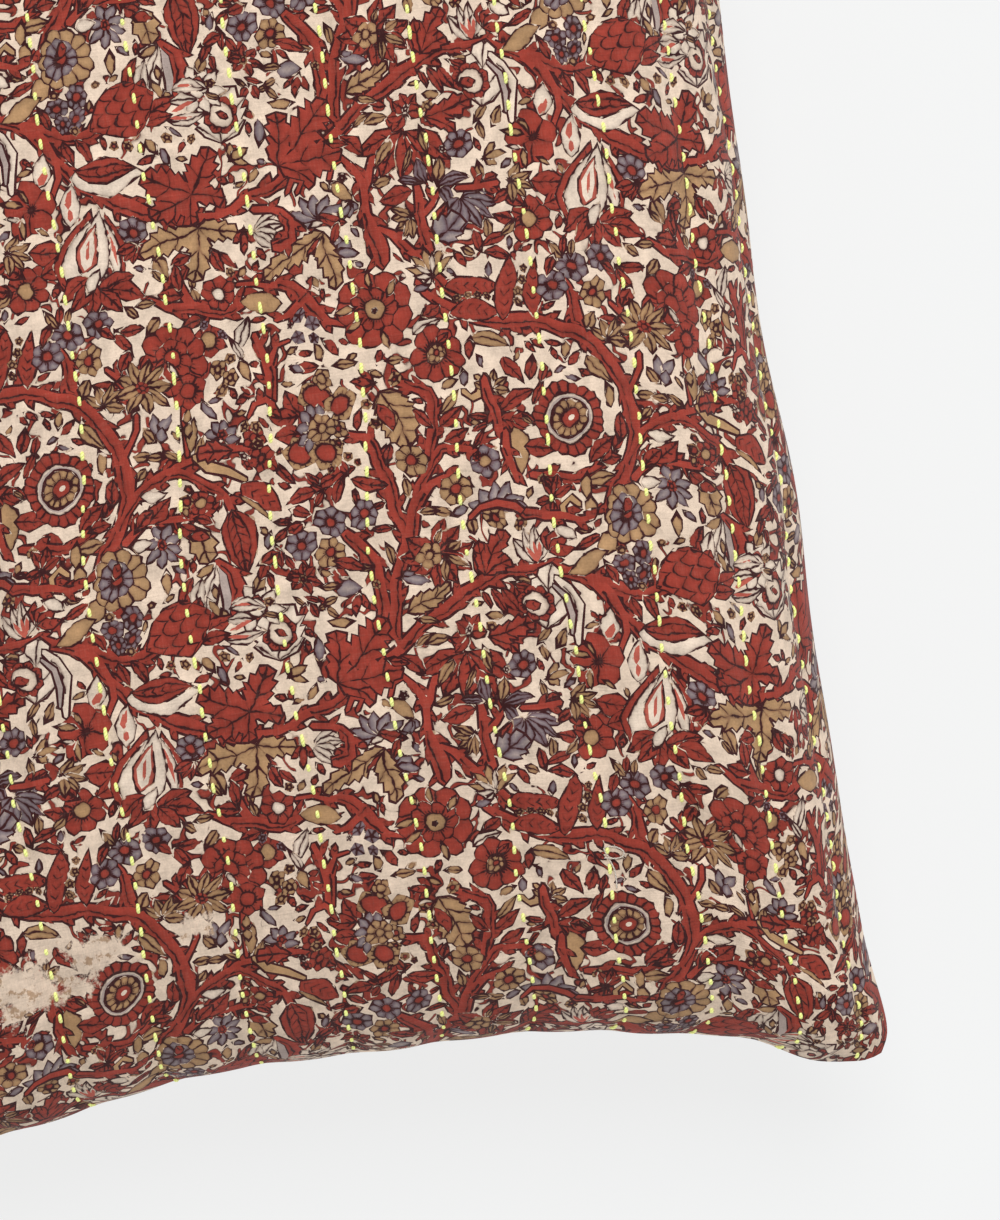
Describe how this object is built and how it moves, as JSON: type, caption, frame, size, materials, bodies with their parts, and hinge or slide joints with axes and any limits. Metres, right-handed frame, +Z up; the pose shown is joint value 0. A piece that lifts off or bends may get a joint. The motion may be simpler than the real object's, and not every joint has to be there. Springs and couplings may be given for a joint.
{
  "type": "lumbar pillow",
  "caption": "Oblong filled cotton pillow with a knife-edge seam, drawn-in sides, turned corners and rows of running stitch along its length.",
  "frame": {"origin": "on the floor under the middle of the pillow", "axes": "+X along the pillow, +Y across it, +Z up through its crown"},
  "size_m": [0.5956, 0.2798, 0.104],
  "materials": {
    "printed_cotton": "thin block-printed cotton, matt",
    "kantha_thread": "soft twisted cotton thread"
  },
  "bodies": {
    "root": {"pillow": "printed_cotton"}
  },
  "joints": []
}
